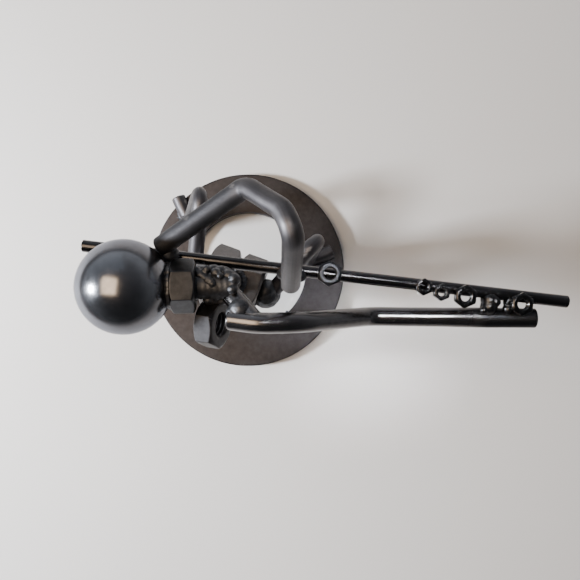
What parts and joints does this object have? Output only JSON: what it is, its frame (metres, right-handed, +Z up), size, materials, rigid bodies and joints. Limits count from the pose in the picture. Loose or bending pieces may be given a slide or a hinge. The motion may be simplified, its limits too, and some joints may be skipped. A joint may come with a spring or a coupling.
{
  "type": "welded nut and bolt figurine of a flute player",
  "caption": "Small welded steel figurine of a seated flute player: ball head, bent rod limbs, hexagon nut hips and a long thin flute, on a flat washer stand.",
  "frame": {"origin": "centre of the washer stand's hole, on the stand's underside", "axes": "+Z up from the stand, +X towards the flute's free end, +Y the side that the figure faces"},
  "size_m": [0.1189, 0.068, 0.0971],
  "materials": {
    "polished_steel": "glossy black nickel",
    "washer_steel": "satin gunmetal, faint radial and circular marks",
    "nut_steel": "satin gunmetal",
    "stud_steel": "dark satin gunmetal, threaded",
    "rod_steel": "half-gloss dark gunmetal",
    "weld_metal": "bright lumpy weld metal under dark plating"
  },
  "bodies": {
    "root": {"base_washer": "washer_steel", "flute_rod": "rod_steel", "head_ball": "polished_steel", "hip_stud": "stud_steel", "key_nut_1": "nut_steel", "key_nut_2": "nut_steel", "key_nut_3": "nut_steel", "key_nut_4": "nut_steel", "key_nut_5": "nut_steel", "left_arm": "rod_steel", "left_foot_weld": "weld_metal", "left_hand_weld": "weld_metal", "left_hip_nut": "nut_steel", "left_hip_weld": "weld_metal", "left_leg": "rod_steel", "left_shoulder_weld": "weld_metal", "mouth_weld": "weld_metal", "neck_nut": "nut_steel", "neck_weld": "weld_metal", "right_arm": "rod_steel", "right_foot_weld": "weld_metal", "right_hand_weld_1": "weld_metal", "right_hand_weld_2": "weld_metal", "right_hip_nut": "nut_steel", "right_hip_weld": "weld_metal", "right_leg": "rod_steel", "right_shoulder_strut": "rod_steel", "right_shoulder_weld": "weld_metal", "shoulder_nut": "nut_steel", "shoulder_nut_weld": "weld_metal", "shoulder_stud": "stud_steel", "spine_base_weld": "weld_metal", "spine_stud": "stud_steel", "spine_top_weld": "weld_metal"}
  },
  "joints": []
}
